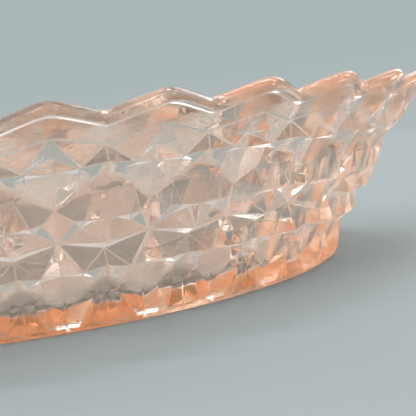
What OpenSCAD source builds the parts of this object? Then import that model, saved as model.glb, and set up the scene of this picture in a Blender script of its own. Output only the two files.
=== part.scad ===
// A low, flared pressed-glass candy dish with a scalloped rim.
// The dish is one pressing. Each node below is one zone of it, and the zones meet face to face.
// Origin: centre of the base, on the table. +Z is up, and a scallop tip lies on +X.

/* [Overall size] */
// Diameter over the scallop tips
rim_d = 203; // [180:1:230]
// Height from the table to the scallop tips
height = 40; // [36:0.5:46]
// Diameter of the base at the table
base_d = 147; // [130:1:156]
// How late the wall flares out: 1 is a straight cone, larger is more of a bell
flare = 1.35; // [1.1:0.05:1.7]

/* [Glass] */
// Thickness of the wall, measured level
wall = 5.2; // [4.5:0.1:6]
// Thickness of the floor above the recess under the base
floor_t = 3.8; // [3.5:0.1:6]
// Depth of the pressed relief, where 1 is the full depth
relief = 1; // [0.4:0.1:1.1]

/* [Rim] */
// Number of scallops, with one column of facets under each
scallops = 32; // [24:4:40]
// Width of the flat on top of the lip
lip_flat = 2.4; // [1.5:0.1:3.5]

/* [Base] */
// Inner diameter of the ring that the dish rests on
foot_inner_d = 134; // [126:1:138]
// Depth of the recess under the base
recess = 0.8; // [0.4:0.1:1.2]
// Number of rays of the star pressed into the underside
star_rays = 32; // [16:4:36]
// Diameter over the star's points
star_d = 112; // [80:1:116]
// Diameter of the plain centre inside the rays
star_inner_d = 30; // [28:1:44]
// Depth of each ray at its inner end
star_depth = 1; // [0.6:0.1:1.1]

/* [Hidden] */

glass_pink = [0.95, 0.72, 0.63, 0.55];
samples = 4 * scallops;
base_r = base_d / 2;
rim_r = rim_d / 2;
plate_r = foot_inner_d / 2 - 5;
floor_z = recess + floor_t;
foot_edge = 0.5;
groove_half_angle = 50;
star_length = (star_d - star_inner_d) / 2;

// Levels of the pattern. Each holds heights, as fractions of the dish's height, and then how far
// the surface stands proud of the wall line in mm: at a column, at a quarter and at mid-column.
lip_top      = [[1.000, 0.970, 0.940], [ 0.0, -0.8, -1.6]];
lip_bottom   = [[0.943, 0.912, 0.880], [ 0.4, -0.4, -1.2]];
point_top    = [[0.852, 0.832, 0.808], [ 1.1,  0.0, -1.1]];
point_bottom = [[0.720, 0.720, 0.720], [ 1.1,  1.3,  1.1]];
star_top     = [[0.720, 0.720, 0.720], [-1.1, -0.9, -1.3]];
star_upper   = [[0.620, 0.620, 0.640], [-0.9,  1.0,  0.4]];
star_lower   = [[0.557, 0.510, 0.530], [-0.9,  1.2,  1.2]];
node_line    = [[0.423, 0.405, 0.376], [ 0.3, -0.3,  0.0]];
row_line     = [[0.261, 0.275, 0.261], [-1.0,  1.3, -1.0]];
scoop_line   = [[0.205, 0.205, 0.205], [-0.4,  0.8, -2.6]];
petal_line   = [[0.125, 0.125, 0.125], [-0.6,  1.2,  0.2]];
foot_top     = [[0.048, 0.048, 0.048], [ 0.4,  0.4,  0.4]];
foot_z = foot_top[0][0] * height;

// Radius of the wall line at height z
function wall_r(z) = base_r + (rim_r - base_r) * pow(z / height, flare);

// A ring of points with one radius and one height for each of the three places in a column
function ring(radii, heights) = [
    for (i = [0 : samples - 1])
        let (place = [0, 1, 2, 1][i % 4], angle = i * 360 / samples)
        [radii[place] * cos(angle), radii[place] * sin(angle), heights[place]]
];

// Heights of a level in mm
function heights(level) = level[0] * height;

// The patterned outside of the wall at a level
function outside(level) =
    let (z = heights(level))
    ring([for (k = [0 : 2]) wall_r(z[k]) + relief * level[1][k]], z);

// The smooth inside of the wall at a level
function inside(level) =
    let (z = heights(level))
    ring([for (k = [0 : 2]) wall_r(z[k]) - wall], z);

// The edge of a round hole of radius r at height z, with its flats just clear of the circle
function hole_edge(r, z) =
    let (clear = r / cos(180 / samples))
    ring([clear, clear, clear], [z, z, z]);

// A closed band of glass through a loop of rings: down the outside and up the inside.
// lean tells, for each step, which corners its facets' edges join: 0 even to odd, 1 odd to even.
module glass_band(rings, lean) {
    count = len(rings);
    faces = [
        for (j = [0 : count - 1], i = [0 : samples - 1])
            let (
                next_i = (i + 1) % samples,
                upper = j * samples,
                lower = ((j + 1) % count) * samples,
                a = upper + i,
                b = upper + next_i,
                c = lower + next_i,
                d = lower + i
            )
            each ((i + lean[j]) % 2 == 0 ? [[a, b, c], [a, c, d]] : [[a, b, d], [b, c, d]])
    ];
    color(glass_pink) polyhedron(points = [for (r = rings) each r], faces = faces);
}

// Scalloped lip: a bevelled bead that follows the scallops
module scalloped_lip() {
    top_z = heights(lip_top);
    flat_inside = ring([for (k = [0 : 2]) wall_r(top_z[k]) - lip_flat + relief * lip_top[1][k]], top_z);
    glass_band(
        [outside(lip_top), outside(lip_bottom), inside(lip_bottom), flat_inside],
        [0, 0, 0, 0]
    );
}

// Plain band: smooth lobes between the lip and the first row of facets
module plain_band() {
    glass_band(
        [outside(lip_bottom), outside(point_top), inside(point_top), inside(lip_bottom)],
        [0, 0, 0, 1]
    );
}

// Upper row of points: triangles that hang from and stand up to a zigzag
module upper_point_row() {
    glass_band(
        [outside(point_top), outside(point_bottom), inside(point_bottom), inside(point_top)],
        [0, 0, 0, 1]
    );
}

// Upper row of stars: petals around one star centre in each column, under a small ledge
module upper_star_row() {
    glass_band(
        [
            outside(star_top), outside(star_upper), outside(star_lower), outside(node_line),
            inside(node_line), inside(star_lower), inside(star_top)
        ],
        [1, 1, 0, 0, 0, 0, 0]
    );
}

// Lower row of points: the zigzag repeats under the stars
module lower_point_row() {
    glass_band(
        [outside(node_line), outside(row_line), inside(row_line), inside(node_line)],
        [0, 0, 0, 1]
    );
}

// Lower row of stars: scoops and short petals that run down to the base, with a rounded inside
module lower_star_row() {
    corner_z = (heights(row_line)[0] + floor_z) / 2;
    corner_r = (wall_r(heights(row_line)[0]) - wall + plate_r) / 2 + 1.5;
    glass_band(
        [
            outside(row_line), outside(scoop_line), outside(petal_line), outside(foot_top),
            hole_edge(plate_r, foot_z), hole_edge(plate_r, floor_z),
            hole_edge(corner_r, corner_z), inside(row_line)
        ],
        [1, 1, 0, 0, 0, 0, 0, 1]
    );
}

// Foot ring: the narrow flat that the dish rests on, with a plain outer edge
module foot_ring() {
    color(glass_pink)
        rotate_extrude($fn = samples)
            polygon([
                [plate_r, foot_z],
                [plate_r, recess],
                [foot_inner_d / 2 - foot_edge, recess],
                [foot_inner_d / 2, 0],
                [base_r - foot_edge, 0],
                [base_r, foot_edge],
                [base_r + foot_edge, foot_z]
            ]);
}

// One ray of the star: a V-shaped groove that starts beside the centre and fades to a point
module star_ray() {
    cut_depth = 3;
    half_w = cut_depth * tan(groove_half_angle);
    translate([star_inner_d / 2, 0, recess + star_depth])
        rotate([0, atan(star_depth / star_length), 0])
            rotate([90, 0, 90])
                linear_extrude(star_length)
                    polygon([[0, 0], [-half_w, -cut_depth], [half_w, -cut_depth]]);
}

// Base plate: the floor, with a star of grooves pressed into its underside
module base_plate() {
    color(glass_pink)
        difference() {
            translate([0, 0, recess])
                cylinder(h = floor_t, r = plate_r, $fn = samples);
            for (i = [0 : star_rays - 1])
                rotate([0, 0, i * 360 / star_rays]) star_ray();
        }
}

scalloped_lip();
plain_band();
upper_point_row();
upper_star_row();
lower_point_row();
lower_star_row();
foot_ring();
base_plate();
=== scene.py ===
import math
import random

import bmesh
import bpy
from mathutils import Matrix, Vector


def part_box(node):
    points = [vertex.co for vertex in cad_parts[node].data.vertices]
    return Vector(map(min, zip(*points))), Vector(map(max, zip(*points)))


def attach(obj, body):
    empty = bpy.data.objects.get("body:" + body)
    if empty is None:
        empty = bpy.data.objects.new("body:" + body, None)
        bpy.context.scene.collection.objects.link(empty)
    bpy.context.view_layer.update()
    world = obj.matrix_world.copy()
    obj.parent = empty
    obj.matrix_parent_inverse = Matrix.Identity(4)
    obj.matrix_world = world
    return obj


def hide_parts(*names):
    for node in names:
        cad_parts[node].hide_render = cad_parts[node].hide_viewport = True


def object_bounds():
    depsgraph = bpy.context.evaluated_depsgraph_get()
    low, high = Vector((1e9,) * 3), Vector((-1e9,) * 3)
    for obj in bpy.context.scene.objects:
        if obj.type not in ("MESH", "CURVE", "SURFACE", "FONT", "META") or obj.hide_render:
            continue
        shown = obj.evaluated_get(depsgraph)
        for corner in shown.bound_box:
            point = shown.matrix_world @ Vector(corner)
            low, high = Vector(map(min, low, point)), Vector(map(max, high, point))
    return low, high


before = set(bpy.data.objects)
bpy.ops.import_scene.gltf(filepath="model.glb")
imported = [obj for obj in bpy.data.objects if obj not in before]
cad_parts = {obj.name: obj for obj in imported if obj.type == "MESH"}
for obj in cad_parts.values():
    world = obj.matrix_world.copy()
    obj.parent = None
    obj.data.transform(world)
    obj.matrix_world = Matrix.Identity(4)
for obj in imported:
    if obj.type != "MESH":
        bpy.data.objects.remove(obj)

MM = 0.001
cad_low, cad_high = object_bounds()

# ---------------------------------------------------------------- the dish, in millimetres
# Driving sizes come from the CAD box, COLUMNS, FLARE and WALL repeat the CAD's values, and the relief
# is finer than the CAD's and has its own values.
HEIGHT = (cad_high.z - cad_low.z) / MM
RIM_R = (cad_high.x - cad_low.x) / 2 / MM
FOOT_EDGE = 0.5         # how far the top of the foot ring stands out past the base
BASE_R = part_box("foot_ring")[1].x / MM - FOOT_EDGE
FLARE = 1.35            # 1 is a straight cone, larger is more of a bell
COLUMNS = 32
PITCH = 2 * math.pi / COLUMNS
COLUMN_WIDTH = 19       # roughly, near the rim
WALL = 5.2              # measured level
FLOOR_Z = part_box("base_plate")[1].z / MM
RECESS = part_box("base_plate")[0].z / MM

# Top and height of each tier of the pattern. The lower one is cut off just above the table.
TIERS = [(34.3, 17.2), (17.1, 19.5)]
BASE_CUT = 1.0
FADE_Z = 2.2            # below this height the relief fades into the foot
EDGE = 0.2              # width of the rounding beside every pressed edge
TOP_FACET_DEPTH = 1.2   # depth that the rounding of the zigzag's own facets is worked out from
STEPS = 12              # steps round the dish in each scallop
ROUGHCAST = 0.14        # how far the pressed corners stray from their places
NEARLY_FLAT = 0.22      # a polygon whose corners stray less than this stays one facet
TOO_SHORT = 0.02        # an edge shorter than this is dropped
SLIVER_AREA = 0.01      # a triangle smaller than this, in square mm, gets no rounding
WELD = 0.003            # points closer than this become one

# The lip: its roll out of the zigzag as steps outwards and up, then (radius, height) points at a
# scallop's tip and at a notch. The band leads to the bead, and the inner points lead down from it.
ROLL = [(0.0, 0.0), (0.12, 0.02), (0.3, 0.14), (0.36, 0.4)]
TIP_BAND = [(98.2, 35.9), (98.9, 37.0), (99.2, 37.4), (99.4, 37.42), (100.7, 37.47)]
TIP_INNER = [(97.0, 38.4), (95.6, 37.6)]
NOTCH_BAND = [(94.2, 33.9), (94.8, 34.8), (95.0, 35.1), (95.15, 35.12), (96.0, 35.17)]
NOTCH_INNER = [(92.4, 36.1), (91.8, 35.4)]
TIP_BEAD = (RIM_R - 0.1, 38.5)      # outermost radius, just inside the CAD box, and middle height
NOTCH_BEAD = (RIM_R - 4.8, 36.2)
TIP_WALL_Z, NOTCH_WALL_Z = 36.4, 34.4
BEAD_WIDTH, BEAD_HEIGHT = 1.7, 1.5
BEAD_ANGLES = (-40, -30, -12, 6, 24, 42, 60, 78, 96, 114, 132, 150, 166)
TIP_ROUND = 0.13        # how much of a scallop's side its rounded tip takes

# The smooth inside, and the curve from its wall into the floor
INSIDE_LEVELS = (33, 30, 27, 24, 21, 18, 15, 12, 9.5, 8)
CORNER_Z = 6.4          # where the curve starts
CORNER_RUN = 2.4        # how far it runs out over the floor
CORNER_STEPS = 12
SLOPE_SPAN = 0.1        # the wall's slope is taken this far above and below a height
FLOOR_RINGS = (60, 53, 46, 38, 30, 22, 14, 7)

# The star pressed into the underside
STAR_IN, STAR_OUT, STAR_DEPTH = 15.0, 56.0, 1.3
STAR_START = 8          # a ray's inner end rises over one part in this many of its length
STAR_FADE = 0.7         # how it fades towards its outer end, where 1 is a straight line
RECESS_RINGS = (
    67, 60, STAR_OUT, 53, 50, 46, 42, 38, 34, 30, 26, 22, STAR_IN + 2.5, STAR_IN, 8,
)

# Seeds of air: how many, and the ranges of their height, depth in the wall and radius
BUBBLES = 260
BUBBLE_Z, BUBBLE_DEPTH, BUBBLE_R = (13, 35), (2.6, 4.2), (0.06, 0.2)

# One half column of the pattern. Each point has its place across the column, in columns from the
# centre line, its place down the tier, in tier heights, and how far it stands proud in mm.
POINTS = {
    "peak": (0.0, 0.0, 0.75),
    "dip": (0.5, 0.108, -1.5),
    "collar": (0.134, 0.17, 0.89),
    "crest": (0.0, 0.17, -2.0),
    "tip": (0.24, 0.305, 1.0),
    "heart_top": (0.0, 0.325, -1.1),
    "brow": (0.5, 0.28, 0.6),
    "wing": (0.36, 0.36, 0.2),
    "shoulder": (0.25, 0.338, -0.7),
    "flank": (0.25, 0.48, -0.6),
    "waist": (0.20, 0.555, -0.5),
    "star": (0.0, 0.68, -1.3),
    "scoop_side": (0.31, 0.43, -0.2),
    "scoop_low": (0.38, 0.50, 0.1),
    "scoop_end": (0.5, 0.528, 0.4),
    "scoop_deep": (0.5, 0.40, -2.4),
    "petal_top": (0.36, 0.54, 0.7),
    "petal_tip": (0.27, 0.80, 2.3),
    "petal_foot": (0.16, 0.795, 1.7),
    "hem": (0.5, 0.815, 2.2),
    "node": (0.0, 1.0, -0.1),
    "groove_in": (0.22, 0.875, 0.2),
    "groove_out": (0.40, 0.824, 1.2),
    "keel": (0.5, 1.063, 2.5),
}
# The lower tier starts under a ledge, so its upper row leans out further
LOWER_RELIEF = {"peak": -0.1, "dip": -0.3, "tip": 2.4, "brow": 1.4, "wing": 0.8}

FACETS = [
    ("peak", "collar", "crest"),
    ("crest", "collar", "tip", "heart_top"),
    ("peak", "dip", "tip", "collar"),
    ("dip", "brow", "wing", "tip"),
    ("heart_top", "tip", "shoulder"),
    ("tip", "wing", "shoulder"),
    ("heart_top", "shoulder", "flank", "waist", "star"),
    ("shoulder", "wing", "scoop_side", "flank"),
    ("flank", "scoop_side", "scoop_low", "petal_top", "waist"),
    ("star", "waist", "petal_top", "petal_tip", "petal_foot"),
    ("petal_top", "scoop_low", "scoop_end", "hem", "petal_tip"),
    ("star", "petal_foot", "node"),
    ("node", "petal_foot", "petal_tip", "groove_in"),
    ("petal_tip", "hem", "groove_out", "groove_in"),
    ("node", "groove_in", "groove_out", "hem", "keel"),
    ("node", "keel", "next_dip"),
]
SCOOP = [
    ("wing", "brow", "scoop_deep"),
    ("scoop_side", "wing", "scoop_deep"),
    ("scoop_low", "scoop_side", "scoop_deep"),
    ("scoop_end", "scoop_low", "scoop_deep"),
]

# ---------------------------------------------------------------- the looks and the stage, in metres
GLASS_SURFACE = (1.0, 0.915, 0.86, 1.0)
GLASS_INSIDE = (0.985, 0.60, 0.27, 1.0)
GLASS_DENSITY = 14.0
GLASS_IOR = 1.51
BUMPS = [("ripple", 110.0, 0.00002), ("grain", 2200.0, 0.00007)]     # name, scale, height
WORN_SCALE, WORN_FROM, WORN_TO = 160.0, 0.44, 0.6
STAGE_COLOUR = (0.282, 0.315, 0.310, 1.0)
STAGE_RINGS, STAGE_SIDES = (0.2, 1.0, 3.0), 96
GAP = 0.0001            # air between the foot and the floor, so that no ray meets both at once
ROOM = [                # the room's colours from level up to overhead
    (0.0, (0.435, 0.490, 0.495, 1.0)),
    (0.12, (0.40, 0.465, 0.47, 1.0)),
    (0.16, (0.40, 0.465, 0.47, 1.0)),
    (0.8, (1.18, 1.19, 1.23, 1.0)),
]
WHITE, LILAC = (0.97, 0.96, 1.0), (0.92, 0.92, 1.0)
LIGHTS = [              # name, place, size, watts, colour
    ("window", (-3.3, -2.7, 2.7), (2.4, 2.4), 50.0, WHITE),
    ("back_right", (3.0, 2.7, 2.7), (2.4, 2.4), 50.0, WHITE),
    ("back_left", (-2.7, 3.3, 2.4), (2.4, 2.4), 50.0, WHITE),
    ("strip", (0.45, 0.75, 3.45), (1.8, 0.18), 32.0, WHITE),
    ("panel_right", (2.2, -3.0, 1.2), (0.8, 0.8), 15.0, LILAC),
    ("panel_left", (-1.5, -2.5, 3.0), (0.8, 0.8), 15.0, LILAC),
    ("panel_high", (2.5, -1.0, 3.2), (0.8, 0.8), 15.0, LILAC),
]
LIGHT_AIM = Vector((0, 0, 0.02))


def wall_r(z):
    """Radius of the smooth line that the pattern is pressed around."""
    return BASE_R + (RIM_R - BASE_R) * max(z / HEIGHT, 0.0) ** FLARE


def inside_r(z):
    """Radius of the smooth inside of the wall."""
    return wall_r(z) - WALL


def polar(radius, turn, z):
    """A point at turn columns round from the -Y side, in mm."""
    a = turn * PITCH
    return Vector((radius * math.sin(a), -radius * math.cos(a), z))


strays = {}
draw = random.Random(32)


def stray(key):
    """The same small offset every time for one corner of the pattern."""
    if key not in strays:
        strays[key] = tuple(draw.uniform(-ROUGHCAST, ROUGHCAST) for _ in range(3))
    return strays[key]


def pattern_point(name, tier, column, side):
    """Where a named corner lies. The last corners of a tier are the first ones of the tier below."""
    if name == "next_dip":
        if tier == 0:
            name, tier = "dip", 1
        else:
            name = "keel"
    if name == "node" and tier == 0:
        name, tier = "peak", 1
    across, down, proud = POINTS[name]
    if tier:
        proud = LOWER_RELIEF.get(name, proud)
    top, span = TIERS[tier]
    turn = (column + side * across) % COLUMNS
    out, around, up = stray((name, tier, round(turn * 1000)))
    z = top - down * span + up
    proud = (proud + out) * min(max(z / FADE_Z, 0.0), 1.0)
    return polar(wall_r(z) + proud, turn + around / COLUMN_WIDTH, z)


def clip(points, z):
    """The part of a polygon that lies above height z."""
    out = []
    for i, p in enumerate(points):
        q = points[(i + 1) % len(points)]
        if p.z >= z:
            out.append(p)
        if (p.z - z) * (q.z - z) < 0:
            out.append(p.lerp(q, (p.z - z) / (p.z - q.z)))
    return out


def add_face(bm, points):
    """A face with corners of its own; equal corners are welded later."""
    if len(points) > 2:
        bm.faces.new([bm.verts.new(p) for p in points])


def inset_face(bm, points, middle, depth):
    """A flat face and a narrow strip along each of its edges, where the shading rounds over."""
    share = min(EDGE / depth, 0.4)
    inner = [p.lerp(middle, share) for p in points]
    for i in range(len(points)):
        j = (i + 1) % len(points)
        add_face(bm, [points[i], points[j], inner[j], inner[i]])
    add_face(bm, inner)


def add_triangle(bm, points):
    """One flat triangle, inset towards the centre of its inscribed circle."""
    sides = [(points[(i + 1) % 3] - points[(i + 2) % 3]).length for i in range(3)]
    area = (points[1] - points[0]).cross(points[2] - points[0]).length / 2
    if area < SLIVER_AREA:
        add_face(bm, points)
        return
    middle = sum((p * w for p, w in zip(points, sides)), Vector()) / sum(sides)
    inset_face(bm, points, middle, 2 * area / sum(sides))


def fold(a, b, c, d):
    """How far the quad a b c d is from flat when it is split from a to c."""
    one, two = (b - a).cross(c - a), (c - a).cross(d - a)
    return one.angle(two, 0.0)


def add_facet(bm, points):
    """A polygon of the pattern: one facet where it is nearly flat, or else several flat triangles."""
    points = [p for i, p in enumerate(points) if (p - points[i - 1]).length > TOO_SHORT]
    if len(points) > 3:
        sides = list(zip(points, points[1:] + points[:1]))
        middle = sum(points, Vector()) / len(points)
        normal = sum(((p - middle).cross(q - middle) for p, q in sides), Vector())
        depth = normal.length / sum((p - q).length for p, q in sides)
        normal.normalize()
        if depth > EDGE and max(abs((p - middle).dot(normal)) for p in points) < NEARLY_FLAT:
            inset_face(bm, points, middle, depth)
            return
    while len(points) > 3:
        n = len(points)
        best = min(range(n), key=lambda i: fold(*(points[(i + k) % n] for k in (-1, 0, 1, 2))))
        add_triangle(bm, [points[best - 1], points[best], points[(best + 1) % n]])
        points.pop(best)
    if len(points) == 3:
        add_triangle(bm, points)


def notch(i):
    """0 at a scallop's rounded tip and 1 at the notch between two scallops."""
    t = abs((i / STEPS + 0.5) % 1.0 - 0.5) * 2
    return (math.hypot(t, TIP_ROUND) - TIP_ROUND) / (math.hypot(1, TIP_ROUND) - TIP_ROUND)


def scalloped_ring(tip, dip):
    """A ring that follows the scallops, between its (radius, height) at a tip and at a notch."""
    ring = []
    for i in range(COLUMNS * STEPS):
        t = notch(i)
        ring.append(polar(tip[0] + (dip[0] - tip[0]) * t, i / STEPS, tip[1] + (dip[1] - tip[1]) * t))
    return ring


def round_ring(radius, z):
    return scalloped_ring((radius, z), (radius, z))


def zigzag_edge(column, side):
    """The straight edge from a peak to a dip of the top row, in the same steps as the lip."""
    peak = pattern_point("peak", 0, column, side)
    dip = pattern_point("dip", 0, column, side)
    half = STEPS // 2
    return [peak.lerp(dip, k / half) for k in range(half + 1)]


def zigzag_ring(out, up):
    """The zigzag over the top row, moved outwards and up."""
    ring = []
    for column in range(COLUMNS):
        ring += zigzag_edge(column, 1)[:-1]
        ring += reversed(zigzag_edge(column + 1, -1)[1:])
    moved = []
    for p in ring:
        share = 1 + out / math.hypot(p.x, p.y)
        moved.append(Vector((p.x * share, p.y * share, p.z + up)))
    return moved


def bridge(bm, upper, lower):
    """A band of quads between two rings."""
    n = len(upper)
    for i in range(n):
        j = (i + 1) % n
        add_face(bm, [upper[i], lower[i], lower[j], upper[j]])


def build_pattern(bm):
    """The pressed pattern on the outside: both tiers, cut off just above the table."""
    for column in range(COLUMNS):
        for side in (1, -1):
            for tier in range(len(TIERS)):
                for names in FACETS:
                    points = [pattern_point(name, tier, column, side) for name in names]
                    if tier == 0 and names[:2] == ("peak", "dip"):
                        middle = (points[0] + points[1] + points[2]) / 3
                        inset_face(bm, zigzag_edge(column, side) + points[2:], middle, TOP_FACET_DEPTH)
                    else:
                        add_facet(bm, clip(points, BASE_CUT))
                for names in SCOOP:
                    points = [pattern_point(name, tier, column, side) for name in names]
                    add_face(bm, clip(points, BASE_CUT))


def lip_outline(band, bead, inner, wall_z):
    """(radius, height) points over the band, round the bead and down to the inside wall."""
    radius, z = bead
    turns = [math.radians(a) for a in BEAD_ANGLES]
    arc = [(radius - BEAD_WIDTH + BEAD_WIDTH * math.cos(a), z + BEAD_HEIGHT * math.sin(a)) for a in turns]
    return band + arc + inner + [(inside_r(wall_z), wall_z)]


def corner_rings():
    """The curve from the inside wall into the floor."""
    start = Vector((inside_r(CORNER_Z), CORNER_Z))
    lean = (wall_r(CORNER_Z + SLOPE_SPAN) - wall_r(CORNER_Z - SLOPE_SPAN)) / (2 * SLOPE_SPAN)
    turn = Vector((start.x - lean * (CORNER_Z - FLOOR_Z), FLOOR_Z))
    end = turn - Vector((CORNER_RUN, 0))
    rings = []
    for step in range(CORNER_STEPS + 1):
        share = step / CORNER_STEPS
        p = start.lerp(turn, share).lerp(turn.lerp(end, share), share)
        rings.append(round_ring(p.x, p.y))
    return rings


def build_lip_and_inside(bm):
    """The plain band, the rounded lip and the smooth inside down to the middle of the floor."""
    rings = [zigzag_ring(out, up) for out, up in ROLL]
    at_tip = lip_outline(TIP_BAND, TIP_BEAD, TIP_INNER, TIP_WALL_Z)
    at_notch = lip_outline(NOTCH_BAND, NOTCH_BEAD, NOTCH_INNER, NOTCH_WALL_Z)
    rings += [scalloped_ring(tip, dip) for tip, dip in zip(at_tip, at_notch)]
    rings += [round_ring(inside_r(z), z) for z in INSIDE_LEVELS]
    rings += corner_rings()
    rings += [round_ring(r, FLOOR_Z) for r in FLOOR_RINGS]
    for upper, lower in zip(rings, rings[1:]):
        bridge(bm, upper, lower)
    last = rings[-1]
    middle = Vector((0, 0, FLOOR_Z))
    for i in range(len(last)):
        add_face(bm, [last[i], last[(i + 1) % len(last)], middle])


def star_depth(radius, turn):
    """How deep the star is pressed into the underside: 32 rays that fade towards both ends."""
    if not STAR_IN < radius < STAR_OUT:
        return 0.0
    along = (radius - STAR_IN) / (STAR_OUT - STAR_IN)
    ray = abs((turn + 0.5) % 1.0 - 0.5) * 2
    return STAR_DEPTH * min(along * STAR_START, 1.0) * (1 - along) ** STAR_FADE * (1 - ray)


def build_underside(bm):
    """Closes the base: the rounded foot ring, the recess inside it and the pressed star."""
    outline = [(BASE_R + 0.05, 0.6), (BASE_R - 0.1, 0.3), (BASE_R - 0.35, 0.08), (BASE_R - 0.7, 0.0)]
    outline += [(68.0, 0.0), (67.4, 0.25)]
    outline += [(radius, RECESS) for radius in RECESS_RINGS]
    turns = [i / STEPS for i in range(COLUMNS * STEPS)]
    rings = []
    for radius, z in outline:
        rings.append([bm.verts.new(polar(radius, t, z + star_depth(radius, t))) for t in turns])
    for a, b in zip(rings, rings[1:]):
        for i in range(len(a)):
            j = (i + 1) % len(a)
            bm.faces.new([a[i], a[j], b[j], b[i]])
    middle = bm.verts.new((0, 0, RECESS))
    for i in range(len(rings[-1])):
        bm.faces.new([rings[-1][i], rings[-1][(i + 1) % len(rings[-1])], middle])
    # The wavy edge where the pattern is cut off meets the first ring
    bmesh.ops.bridge_loops(bm, edges=[e for e in bm.edges if len(e.link_faces) == 1])


def build_bubbles(bm):
    """Tiny seeds of air caught in the wall."""
    ball = bmesh.new()
    bmesh.ops.create_icosphere(ball, subdivisions=2, radius=1.0)
    for _ in range(BUBBLES):
        z = draw.uniform(*BUBBLE_Z)
        turn = draw.uniform(0, COLUMNS)
        depth = draw.uniform(*BUBBLE_DEPTH)
        size = draw.uniform(*BUBBLE_R)
        middle = polar(wall_r(z) - depth, turn, z)
        verts = [bm.verts.new(middle + v.co * size) for v in ball.verts]
        for f in ball.faces:
            bm.faces.new([verts[v.index] for v in reversed(f.verts)])
    ball.free()


def add_object(name, bm):
    """Turns a bmesh into a smooth-shaded object of the scene."""
    for f in bm.faces:
        f.smooth = True
    mesh = bpy.data.meshes.new(name)
    bm.to_mesh(mesh)
    bm.free()
    thing = bpy.data.objects.new(name, mesh)
    bpy.context.scene.collection.objects.link(thing)
    return thing


def build_dish():
    """The whole dish as one closed mesh, with the number of faces and of open edges printed."""
    bm = bmesh.new()
    build_pattern(bm)
    build_lip_and_inside(bm)
    bmesh.ops.remove_doubles(bm, verts=bm.verts, dist=WELD)
    build_underside(bm)
    bmesh.ops.recalc_face_normals(bm, faces=bm.faces)
    build_bubbles(bm)
    open_edges = sum(len(e.link_faces) != 2 for e in bm.edges)
    print("DISH faces", len(bm.faces), "open or shared edges", open_edges)
    bmesh.ops.scale(bm, vec=(MM, MM, MM), verts=bm.verts)
    return add_object("pressed_glass_dish", bm)


def node_material(name):
    """A new material and its shader."""
    material = bpy.data.materials.new(name)
    material.use_nodes = True
    return material, material.node_tree.nodes["Principled BSDF"]


def add_noise(tree, place, scale):
    noise = tree.nodes.new("ShaderNodeTexNoise")
    noise.inputs["Scale"].default_value = scale
    tree.links.new(place.outputs["Object"], noise.inputs["Vector"])
    return noise


def glass_material():
    """Clear glass, tinted a little at its surface and more by the way that light goes inside it."""
    material, shader = node_material("pink_glass")
    tree = material.node_tree
    shader.inputs["Base Color"].default_value = GLASS_SURFACE
    shader.inputs["Transmission Weight"].default_value = 1.0
    shader.inputs["IOR"].default_value = GLASS_IOR
    shader.inputs["Roughness"].default_value = 0.0
    tint = tree.nodes.new("ShaderNodeVolumeAbsorption")
    tint.inputs["Color"].default_value = GLASS_INSIDE
    tint.inputs["Density"].default_value = GLASS_DENSITY
    tree.links.new(tint.outputs[0], tree.nodes["Material Output"].inputs["Volume"])
    place = tree.nodes.new("ShaderNodeTexCoord")
    normal = None
    for name, scale, height in BUMPS:
        noise = add_noise(tree, place, scale)
        bump = tree.nodes.new("ShaderNodeBump")
        bump.name = name + "_bump"
        bump.inputs["Distance"].default_value = height
        tree.links.new(noise.outputs["Fac"], bump.inputs["Height"])
        if normal:
            tree.links.new(normal, bump.inputs["Normal"])
        normal = bump.outputs["Normal"]
    # The grain comes in patches, where the mould was worn
    patches = add_noise(tree, place, WORN_SCALE)
    worn = tree.nodes.new("ShaderNodeMapRange")
    worn.inputs["From Min"].default_value = WORN_FROM
    worn.inputs["From Max"].default_value = WORN_TO
    tree.links.new(patches.outputs["Fac"], worn.inputs["Value"])
    tree.links.new(worn.outputs["Result"], tree.nodes["grain_bump"].inputs["Strength"])
    tree.links.new(normal, shader.inputs["Normal"])
    return material


def stage_material():
    material, shader = node_material("pale_card")
    shader.inputs["Base Color"].default_value = STAGE_COLOUR
    shader.inputs["Roughness"].default_value = 0.9
    shader.inputs["Specular IOR Level"].default_value = 0.0
    return material


def build_stage():
    """A wide, flat, pale floor that meets the pale room at the horizon."""
    bm = bmesh.new()
    turns = [2 * math.pi * i / STAGE_SIDES for i in range(STAGE_SIDES)]
    rings = [[bm.verts.new((r * math.cos(a), r * math.sin(a), -GAP)) for a in turns] for r in STAGE_RINGS]
    bm.faces.new(rings[0])
    for a, b in zip(rings, rings[1:]):
        for i in range(STAGE_SIDES):
            j = (i + 1) % STAGE_SIDES
            bm.faces.new([a[i], a[j], b[j], b[i]])
    bmesh.ops.recalc_face_normals(bm, faces=bm.faces)
    floor = add_object("pale_floor", bm)
    floor.data.materials.append(stage_material())


def area_light(name, place, size, power, colour):
    lamp = bpy.data.lights.new(name, "AREA")
    lamp.shape = "RECTANGLE"
    lamp.size, lamp.size_y = size
    lamp.energy = power
    lamp.color = colour
    holder = bpy.data.objects.new(name, lamp)
    holder.location = place
    holder.rotation_mode = "QUATERNION"
    holder.rotation_quaternion = (LIGHT_AIM - Vector(place)).to_track_quat("-Z", "Y")
    bpy.context.scene.collection.objects.link(holder)


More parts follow.
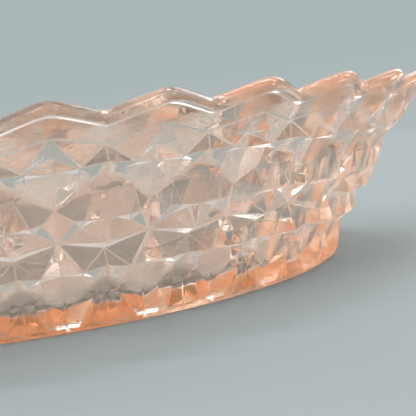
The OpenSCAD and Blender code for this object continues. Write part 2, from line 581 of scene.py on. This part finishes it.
def build_world():
    """A soft room that is brighter overhead than at the horizon."""
    world = bpy.data.worlds.new("soft_room")
    world.use_nodes = True
    tree = world.node_tree
    back = tree.nodes["Background"]
    place = tree.nodes.new("ShaderNodeTexCoord")
    split = tree.nodes.new("ShaderNodeSeparateXYZ")
    climb = tree.nodes.new("ShaderNodeValToRGB")
    climb.color_ramp.interpolation = "EASE"
    stops = climb.color_ramp.elements
    for stop, (position, colour) in zip(stops, (ROOM[0], ROOM[-1])):
        stop.position = position
        stop.color = colour
    for position, colour in ROOM[1:-1]:
        stops.new(position).color = colour
    tree.links.new(place.outputs["Generated"], split.inputs[0])
    tree.links.new(split.outputs["Z"], climb.inputs["Fac"])
    tree.links.new(climb.outputs["Color"], back.inputs["Color"])
    back.inputs["Strength"].default_value = 1.0
    bpy.context.scene.world = world


def build_camera():
    """The photograph's viewing place: just below the rim, close, and tilted."""
    camera = bpy.data.cameras.new("photo_view")
    camera.lens = 81.3
    camera.sensor_width = 36.0
    camera.clip_start = 0.01
    holder = bpy.data.objects.new("photo_view", camera)
    distance, azimuth, height = 0.2427, math.radians(-2.49), 0.0299
    yaw, pitch, roll = math.radians(13.05), math.radians(-3.72), math.radians(-7.84)
    place = Vector((distance * math.sin(azimuth), -distance * math.cos(azimuth), height))
    ahead = Vector((math.sin(yaw) * math.cos(pitch), math.cos(yaw) * math.cos(pitch), math.sin(pitch)))
    level = ahead.to_track_quat("-Z", "Y").to_matrix().to_4x4()
    holder.matrix_world = Matrix.Translation(place) @ level @ Matrix.Rotation(roll, 4, "Z")
    bpy.context.scene.collection.objects.link(holder)
    bpy.context.scene.camera = holder


dish = build_dish()
dish.data.materials.append(glass_material())
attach(dish, "root")
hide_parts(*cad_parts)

build_stage()
build_world()
for light in LIGHTS:
    area_light(*light)
build_camera()
bpy.context.scene.view_settings.view_transform = "Standard"
# Light meets many surfaces inside faceted glass
bpy.context.scene.cycles.max_bounces = 32
bpy.context.scene.cycles.transmission_bounces = 32
bpy.context.scene.cycles.glossy_bounces = 16
